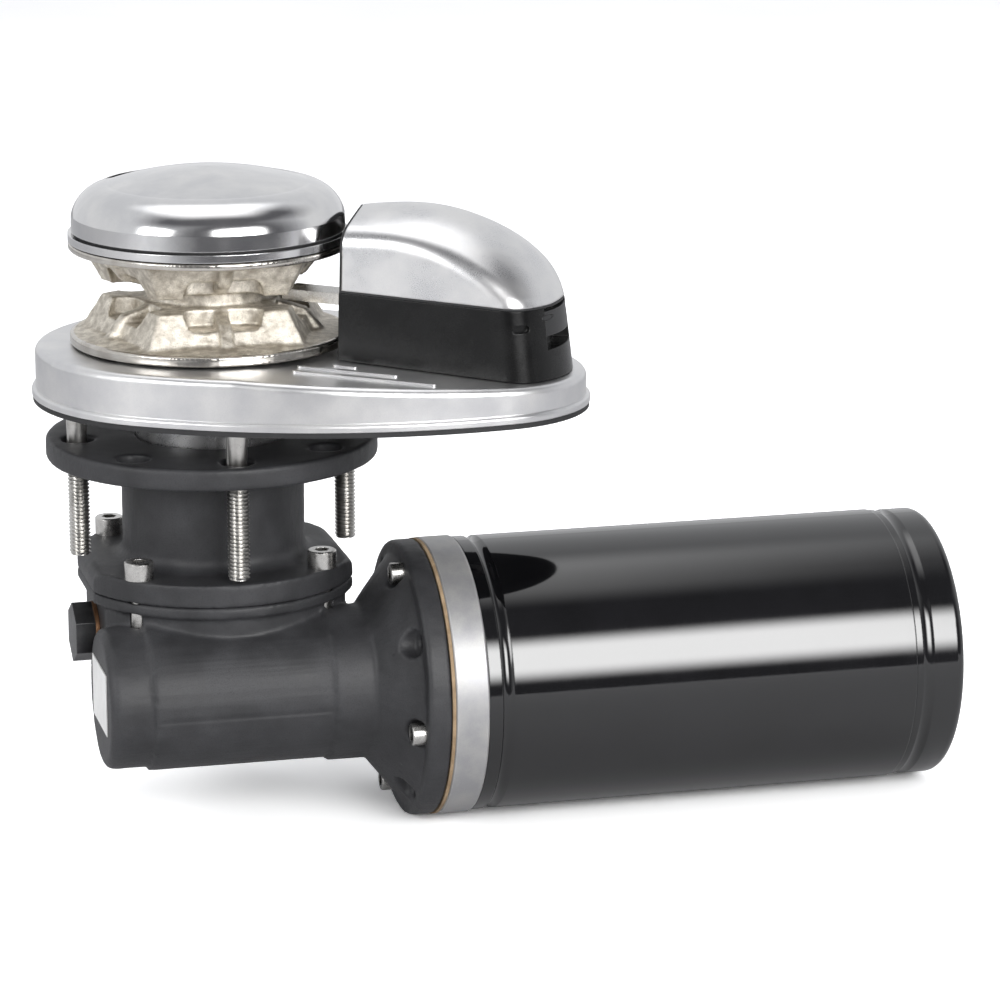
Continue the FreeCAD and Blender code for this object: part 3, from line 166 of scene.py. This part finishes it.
def edge_wear(tree, radius):
    """1 near sharp edges, 0 on open faces."""
    soft = add(tree, "ShaderNodeBevel", {"Radius": radius}, samples=EDGE_SAMPLES).outputs["Normal"]
    flat = add(tree, "ShaderNodeNewGeometry").outputs["Normal"]
    dot = add(tree, "ShaderNodeVectorMath", {0: soft, 1: flat}, operation="DOT_PRODUCT").outputs["Value"]
    return spread(tree, dot, 1, 0, 0.80, 0.985)


def relief(tree, heights, rounding=0.0):
    """A normal from several (height, depth in metres) pairs over edges rounded in the shading."""
    normal = None
    if rounding:
        normal = add(tree, "ShaderNodeBevel", {"Radius": rounding}, samples=EDGE_SAMPLES).outputs["Normal"]
    for height, depth in heights:
        inputs = {"Height": height, "Strength": 1.0, "Distance": depth}
        if normal:
            inputs["Normal"] = normal
        normal = add(tree, "ShaderNodeBump", inputs).outputs["Normal"]
    return normal


# ---------------------------------------------------------------- finishes

def finish(name, dark, light, rough, metallic=0.0, blotch=12 * MM, fine=0.5 * MM, depth=0.01 * MM,
           stretch=(1, 1, 1), wear=None, wear_size=0.8 * MM, rounding=0.0, ior=1.5, soft=None,
           speck=0.45):
    """One finish: two tones in blotches, fine grain, uneven gloss, and edges worn to another tone.

    rough is (lowest, highest); blotch is the size of the blotches; fine, depth and stretch are the
    grain's size, height and direction; soft is a second, wider relief as (size, depth); speck is how
    strongly the grain darkens the tone; wear is the worn edges' tone and wear_size their width.
    """
    material, tree, shader = new_material(name)
    big = grain(tree, blotch, 4)
    small = grain(tree, fine, 3, stretch)
    colour = blend_colour(tree, spread(tree, big, 0, 1), dark, light)
    tint = tuple((1 - 0.4 * speck) * c for c in dark)
    colour = blend_colour(tree, spread(tree, small, 0, speck, 0.5, 0.8), colour, tint)
    gloss = maths(tree, "ADD", spread(tree, big, rough[0], (rough[0] + rough[1]) / 2),
                  spread(tree, small, 0, (rough[1] - rough[0]) / 2))
    if wear:
        worn = maths(tree, "MULTIPLY", edge_wear(tree, wear_size), spread(tree, small, 0.3, 1.0))
        colour = blend_colour(tree, worn, colour, wear)
    tree.links.new(colour, shader.inputs["Base Color"])
    tree.links.new(gloss, shader.inputs["Roughness"])
    heights = [(small, depth)]
    if soft:
        heights.append((grain(tree, soft[0], 2), soft[1]))
    tree.links.new(relief(tree, heights, rounding), shader.inputs["Normal"])
    shader.inputs["Metallic"].default_value = metallic
    shader.inputs["IOR"].default_value = ior
    return material


STEEL = dict(dark=(0.62, 0.62, 0.63), light=(0.72, 0.715, 0.71), metallic=1.0)

FINISHES = {
    "polished_steel": dict(STEEL, rough=(0.10, 0.20), fine=0.35 * MM, depth=0.0012 * MM,
                           blotch=20 * MM, soft=(9 * MM, 0.012 * MM), rounding=0.5 * MM),
    "stainless": dict(dark=(0.46, 0.45, 0.43), light=(0.60, 0.59, 0.57), metallic=1.0,
                      rough=(0.20, 0.34), fine=0.3 * MM, depth=0.002 * MM, blotch=5 * MM,
                      rounding=0.2 * MM),
    "machined_aluminium": dict(dark=(0.33, 0.33, 0.34), light=(0.40, 0.395, 0.39), metallic=0.55,
                               rough=(0.40, 0.52), blotch=9 * MM, fine=0.5 * MM, depth=0.02 * MM,
                               wear=(0.7, 0.7, 0.7), rounding=0.4 * MM),
    "bearing_steel": dict(STEEL, rough=(0.2, 0.35), depth=0.003 * MM),
    "charcoal_paint": dict(dark=(0.020, 0.0202, 0.0218), light=(0.036, 0.0362, 0.039), speck=0.8,
                           rough=(0.42, 0.60), blotch=22 * MM, fine=0.5 * MM, depth=0.075 * MM,
                           wear=(0.060, 0.060, 0.064), wear_size=1.0 * MM, ior=1.42),
    "gloss_black_paint": dict(dark=(0.0022, 0.0022, 0.0026), light=(0.0040, 0.0040, 0.0048),
                              rough=(0.045, 0.10), blotch=30 * MM, fine=0.5 * MM,
                              stretch=(1, 0.05, 0.05), depth=0.0016 * MM,
                              soft=(5 * MM, 0.006 * MM), rounding=0.8 * MM, ior=1.68),
    "black_plastic": dict(dark=(0.0035, 0.0035, 0.0036), light=(0.0060, 0.0060, 0.0060), ior=1.34,
                          rough=(0.20, 0.32), blotch=16 * MM, fine=0.25 * MM, depth=0.002 * MM,
                          soft=(8 * MM, 0.02 * MM), rounding=0.7 * MM),
    "latch_plastic": dict(dark=(0.0060, 0.0060, 0.0066), light=(0.012, 0.012, 0.013),
                          rough=(0.32, 0.46), fine=0.2 * MM, depth=0.006 * MM, rounding=0.7 * MM,
                          wear=(0.03, 0.03, 0.03)),
    "rubber_black": dict(dark=(0.010, 0.010, 0.011), light=(0.018, 0.018, 0.019),
                         rough=(0.55, 0.75), fine=0.3 * MM, depth=0.02 * MM, blotch=8 * MM,
                         rounding=0.4 * MM),
    "nickel_bronze": dict(dark=(0.44, 0.40, 0.34), light=(0.80, 0.76, 0.68), metallic=0.9, speck=0.9,
                          rough=(0.42, 0.64), blotch=4 * MM, fine=0.5 * MM, depth=0.13 * MM,
                          soft=(1.4 * MM, 0.10 * MM)),
    "plug_steel": dict(dark=(0.035, 0.035, 0.037), light=(0.07, 0.07, 0.072), metallic=0.8,
                       rough=(0.3, 0.5), fine=0.3 * MM, depth=0.01 * MM, wear=(0.2, 0.2, 0.2),
                       rounding=0.3 * MM),
    "seal_washer": dict(dark=(0.20, 0.10, 0.05), light=(0.36, 0.20, 0.11), metallic=0.8,
                        rough=(0.35, 0.5), depth=0.004 * MM),
    "label_white": dict(dark=(0.70, 0.70, 0.69), light=(0.80, 0.80, 0.79), rough=(0.35, 0.5),
                        fine=0.15 * MM, depth=0.004 * MM, blotch=9 * MM, wear=(0.5, 0.5, 0.48)),
    "gasket_paper": dict(dark=(0.22, 0.15, 0.085), light=(0.36, 0.26, 0.16), rough=(0.75, 0.9),
                         fine=0.4 * MM, depth=0.03 * MM, blotch=6 * MM),
    "terminal_brass": dict(dark=(0.55, 0.38, 0.13), light=(0.72, 0.53, 0.22), metallic=1.0,
                           rough=(0.22, 0.38), depth=0.003 * MM, wear=(0.8, 0.66, 0.36)),
    "insulator": dict(dark=(0.05, 0.028, 0.018), light=(0.085, 0.05, 0.03), rough=(0.4, 0.55),
                      depth=0.006 * MM, rounding=0.3 * MM),
    "magnet_iron": dict(dark=(0.06, 0.06, 0.062), light=(0.11, 0.11, 0.115), rough=(0.5, 0.7),
                        depth=0.01 * MM),
    "carbon": dict(dark=(0.012, 0.012, 0.012), light=(0.025, 0.025, 0.025), rough=(0.5, 0.7),
                   depth=0.006 * MM),
    "shaft_steel": dict(STEEL, rough=(0.18, 0.32), stretch=(1, 1, 0.15), depth=0.003 * MM),
    "clutch_bronze": dict(dark=(0.45, 0.28, 0.13), light=(0.60, 0.40, 0.20), metallic=1.0,
                          rough=(0.3, 0.45), depth=0.006 * MM),
    "wheel_bronze": dict(dark=(0.45, 0.30, 0.14), light=(0.62, 0.44, 0.22), metallic=1.0,
                         rough=(0.25, 0.4), depth=0.006 * MM),
    "cast_hub": dict(dark=(0.12, 0.12, 0.12), light=(0.2, 0.2, 0.2), metallic=0.7,
                     rough=(0.5, 0.7), depth=0.03 * MM),
    "lamination_steel": dict(dark=(0.14, 0.14, 0.15), light=(0.26, 0.26, 0.27), metallic=0.9,
                             rough=(0.4, 0.6), fine=0.5 * MM, stretch=(1, 0.02, 0.02),
                             depth=0.02 * MM),
    "copper_wire": dict(dark=(0.45, 0.17, 0.07), light=(0.66, 0.30, 0.14), metallic=1.0,
                        rough=(0.25, 0.4), fine=0.9 * MM, depth=0.05 * MM),
}

TURNED_RIM = dict(dark=(0.50, 0.47, 0.43), light=(0.62, 0.60, 0.56), metallic=1.0,
                  rough=(0.14, 0.26), fine=0.3 * MM, depth=0.002 * MM, blotch=9 * MM)

STUD_FINISH = dict(FINISHES["stainless"], rough=(0.26, 0.36), rounding=0.0, depth=0.001 * MM)

NODE_FINISHES = {
    "dome_cap": dict(FINISHES["polished_steel"], rough=(0.09, 0.16)),
    "hood_shell": dict(FINISHES["polished_steel"], rough=(0.25, 0.35), rounding=1.0 * MM),
    "deck_base": dict(FINISHES["polished_steel"], rough=(0.30, 0.40), rounding=0.6 * MM),
    "latch_pin": FINISHES["latch_plastic"],
    "shaft_sleeve": dict(STEEL, rough=(0.22, 0.36), fine=0.5 * MM, stretch=(1, 1, 4),
                         depth=0.004 * MM, blotch=14 * MM),
}


def paint_cad_nodes():
    """Every carried-over CAD node gets the finish of its slot, or its own one."""
    made = {slot: finish(slot, **facts) for slot, facts in FINISHES.items()}
    own = {node: finish(f"{node}_finish", **facts) for node, facts in NODE_FINISHES.items()}
    for part in frame["record"]["subparts"]:
        node = part["node"]
        obj = frame["nodes"][node]
        obj.data.materials.clear()
        obj.data.materials.append(own.get(node, made[part["material_slot"]]))
    return made


# ---------------------------------------------------------------- pieces

def shade_smooth(mesh):
    mesh.polygons.foreach_set("use_smooth", [True] * len(mesh.polygons))
    mesh.update()


def settle(obj, body, node):
    """The piece rides on a body and stands for a CAD node, which it hides."""
    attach(obj, body)
    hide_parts(node)


def cast_copy(name, node, voxel, rounds, faces):
    """A CAD node's solid as one even skin whose edges are rounded, as a casting's are.

    voxel is the skin's cell, rounds how often it is smoothed, faces about how many triangles are left.
    """
    work = bmesh.new()
    work.from_mesh(frame["nodes"][node].data)
    bmesh.ops.remove_doubles(work, verts=work.verts, dist=WELD)
    mesh = bpy.data.meshes.new(name)
    work.to_mesh(mesh)
    work.free()
    obj = new_object(name, mesh)
    skin = obj.modifiers.new("skin", "REMESH")
    skin.mode = "VOXEL"
    skin.voxel_size = voxel
    soft = obj.modifiers.new("soft", "SMOOTH")
    soft.factor = 0.5
    soft.iterations = rounds
    bpy.context.view_layer.update()
    found = len(obj.evaluated_get(bpy.context.evaluated_depsgraph_get()).data.polygons)
    thin = obj.modifiers.new("thin", "DECIMATE")
    thin.ratio = min(1.0, faces / (2 * found))
    graph = bpy.context.evaluated_depsgraph_get()
    made = bpy.data.meshes.new_from_object(obj.evaluated_get(graph))
    obj.modifiers.clear()
    obj.data = made
    made.materials.clear()
    shade_smooth(made)
    return obj


def roughen(obj, node, layers, share):
    """Push each point in or out by noise layers of (size, depth), inside the CAD node's box."""
    low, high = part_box(node)
    mesh = obj.data
    normals = [v.normal.copy() for v in mesh.vertices]
    for vert, normal in zip(mesh.vertices, normals):
        amount = share(vert.co)
        if amount:
            push = sum(depth * noise.noise(vert.co / size) for size, depth in layers)
            vert.co += normal * push * amount
        for axis in range(3):
            vert.co[axis] = min(max(vert.co[axis], low[axis]), high[axis])
    mesh.update()


def make_casings():
    for node in ("upper_casing", "lower_casing"):
        obj = cast_copy(f"{node}_cast", node, CASTING_VOXEL, CASTING_ROUNDS, CASTING_FACES)
        roughen(obj, node, CASTING_SKIN, lambda place: 1.0)
        obj.data.materials.append(SLOTS["charcoal_paint"])
        settle(obj, "housing", node)


def gypsy_share(place):
    """Castings are rough; the two turned rims are not."""
    return 0.0 if place.xy.length > GYPSY_TURNED_R else 1.0


def make_gypsy():
    low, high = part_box("gypsy")
    obj = cast_copy("gypsy_cast", "gypsy", GYPSY_VOXEL, GYPSY_ROUNDS, GYPSY_FACES)
    roughen(obj, "gypsy", GYPSY_SKIN, gypsy_share)
    obj.data.materials.append(SLOTS["nickel_bronze"])
    obj.data.materials.append(finish("turned_rim", **TURNED_RIM))
    for face in obj.data.polygons:
        middle = face.center
        turned = middle.xy.length > GYPSY_TURNED_R
        turned = turned or min(high.z - middle.z, middle.z - low.z) < GYPSY_FACED_DEPTH
        face.material_index = int(turned)
    settle(obj, "chain_wheel", "gypsy")


def stud_radius(z, turn, low):
    """Thin where it screws into the base, plain through the flange, threaded below it."""
    if z > STUD_PLAIN_TOP:
        return STUD_ROOT_R
    if z > STUD_THREAD_TOP:
        return STUD_R
    phase = (z / STUD_PITCH + turn) % 1.0
    crest = STUD_R - STUD_THREAD_DEPTH * (1 - abs(2 * phase - 1))
    return min(crest, STUD_R - STUD_THREAD_DEPTH + (z - low))


def stud_heights(low, high):
    """From the top down: few steps along the plain part, fine ones along the thread."""
    heights = [high, STUD_PLAIN_TOP + STUD_SHOULDER, STUD_PLAIN_TOP - STUD_SHOULDER, STUD_THREAD_TOP]
    while heights[-1] - STUD_STEP > low:
        heights.append(heights[-1] - STUD_STEP)
    heights.append(low)
    return heights


def add_stud(work, axis, heights):
    rings = []
    for z in heights:
        ring = []
        for i in range(STUD_SIDES):
            turn = i / STUD_SIDES
            angle = math.tau * turn
            radius = stud_radius(z, turn, heights[-1])
            place = axis + Vector((radius * math.cos(angle), radius * math.sin(angle), z))
            ring.append(work.verts.new(place))
        rings.append(ring)
    for upper, lower in zip(rings, rings[1:]):
        for i in range(STUD_SIDES):
            j = (i + 1) % STUD_SIDES
            work.faces.new((upper[i], lower[i], lower[j], upper[j]))
    work.faces.new(rings[0])
    work.faces.new(list(reversed(rings[-1])))


def make_studs():
    low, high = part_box("mounting_studs")
    reach = high.x - STUD_R
    heights = stud_heights(low.z, high.z)
    work = bmesh.new()
    for quarter in range(4):
        facing = math.radians(90 * quarter)
        add_stud(work, Vector((reach * math.cos(facing), reach * math.sin(facing), 0)), heights)
    bmesh.ops.recalc_face_normals(work, faces=work.faces)
    mesh = bpy.data.meshes.new("mounting_studs_threaded")
    work.to_mesh(mesh)
    work.free()
    shade_smooth(mesh)
    mesh.set_sharp_from_angle(angle=STUD_CREASE)
    mesh.materials.append(finish("stud_steel", **STUD_FINISH))
    settle(new_object("mounting_studs_threaded", mesh), "housing", "mounting_studs")


# ---------------------------------------------------------------- stage

def make_floor():
    """Pale paper, brighter where it is seen directly, so that it meets the white behind it."""
    corners = [(-FLOOR_HALF, FLOOR_NEAR), (FLOOR_HALF, FLOOR_NEAR), (FLOOR_HALF, FLOOR_FAR),
               (-FLOOR_HALF, FLOOR_FAR)]
    mesh = bpy.data.meshes.new("floor")
    mesh.from_pydata([(x, y, CAD_BOX[0].z) for x, y in corners], [], [(0, 1, 2, 3)])
    floor = new_object("floor", mesh)
    material, tree, shader = new_material("floor_paper")
    tree.nodes.remove(shader)
    paper = spread(tree, grain(tree, 0.2, 3), 0, 1)
    lit = add(tree, "ShaderNodeBsdfDiffuse", {"Color": blend_colour(tree, paper, *PAPER_LIT)})
    seen = add(tree, "ShaderNodeBsdfDiffuse", {"Color": blend_colour(tree, paper, *PAPER_SEEN)})
    direct = add(tree, "ShaderNodeLightPath").outputs["Is Camera Ray"]
    mixed = add(tree, "ShaderNodeMixShader", {0: direct, 1: lit.outputs[0], 2: seen.outputs[0]})
    tree.links.new(mixed.outputs[0], tree.nodes["Material Output"].inputs["Surface"])
    mesh.materials.append(material)


def softbox(name, azimuth, elevation, distance, wide, tall, radiance, edge):
    """A rectangular light; azimuth 0 is from -Y and turns towards +X, in degrees.

    It fades to nothing along its rim, over a share of its width and height given by edge.
    """
    a = math.radians(azimuth)
    e = math.radians(elevation)
    way = Vector((math.sin(a) * math.cos(e), -math.cos(a) * math.cos(e), math.sin(e)))
    data = bpy.data.lights.new(name, "AREA")
    data.shape = "RECTANGLE"
    data.size = wide
    data.size_y = tall
    data.energy = radiance * math.pi * wide * tall
    data.use_nodes = True
    tree = data.node_tree
    place = add(tree, "ShaderNodeNewGeometry").outputs["Parametric"]
    split = add(tree, "ShaderNodeSeparateXYZ", {"Vector": place})
    fade = None
    for axis in ("X", "Y"):
        off = maths(tree, "ABSOLUTE", maths(tree, "SUBTRACT", split.outputs[axis], 0.5))
        side = add(tree, "ShaderNodeMapRange", {
            "Value": off, "From Min": 0.5 - edge, "From Max": 0.5, "To Min": 1.0, "To Max": 0.0,
        }, interpolation_type="SMOOTHSTEP").outputs["Result"]
        fade = maths(tree, "MULTIPLY", fade, side) if fade else side
    tree.links.new(fade, tree.nodes["Emission"].inputs["Strength"])
    light = new_object(name, data)
    light.location = LIGHT_TARGET + way * distance
    light.rotation_euler = way.to_track_quat("Z", "Y").to_euler()


LIGHTS = {
    "front_box": dict(azimuth=16, elevation=20, distance=2.6, wide=2.4, tall=1.9, radiance=12, edge=0.34),
    "left_box": dict(azimuth=-58, elevation=22, distance=2.4, wide=1.4, tall=1.2, radiance=8.5, edge=0.3),
    "over_box": dict(azimuth=180, elevation=84, distance=2.2, wide=2.8, tall=2.7, radiance=1.75, edge=0.38),
}


def make_lights():
    for name, facts in LIGHTS.items():
        softbox(name, **facts)


def make_world():
    """White behind everything; for the light it gives, a studio that is dark above the camera."""
    world = bpy.data.worlds.new("studio")
    world.use_nodes = True
    bpy.context.scene.world = world
    tree = world.node_tree
    tree.nodes.clear()
    way = add(tree, "ShaderNodeTexCoord").outputs["Generated"]
    facing = add(tree, "ShaderNodeVectorMath", {0: way, 1: STUDIO_DARK_WAY},
                 operation="DOT_PRODUCT").outputs["Value"]
    up = add(tree, "ShaderNodeSeparateXYZ", {"Vector": way}).outputs["Z"]
    front = spread(tree, facing, 0, 1, 0.35, 0.80)
    high = maths(tree, "MULTIPLY", spread(tree, up, 0, 1, 0.45, 0.75),
                 spread(tree, facing, 0, 1, -0.1, 0.3))
    gloom = maths(tree, "MAXIMUM", front, high)
    tone = blend_colour(tree, gloom, STUDIO_BRIGHT, STUDIO_DARK)
    studio = add(tree, "ShaderNodeBackground", {"Color": tone, "Strength": STUDIO_STRENGTH})
    white = add(tree, "ShaderNodeBackground", {"Color": (1, 1, 1, 1), "Strength": 1.0})
    seen = add(tree, "ShaderNodeLightPath").outputs["Is Camera Ray"]
    mixed = add(tree, "ShaderNodeMixShader", {0: seen, 1: studio.outputs[0], 2: white.outputs[0]})
    add(tree, "ShaderNodeOutputWorld", {"Surface": mixed.outputs[0]})


def make_camera():
    data = bpy.data.cameras.new("camera")
    data.lens = CAMERA_LENS
    data.sensor_width = SENSOR
    camera = new_object("camera", data)
    camera.location = CAMERA_PLACE
    camera.rotation_euler = (math.pi / 2 - CAMERA_DOWN, 0, -CAMERA_AZIMUTH)
    bpy.context.scene.camera = camera


make_camera()
bpy.context.scene.view_settings.view_transform = "Standard"
make_floor()
make_lights()
make_world()
SLOTS = paint_cad_nodes()
make_studs()
make_casings()
make_gypsy()
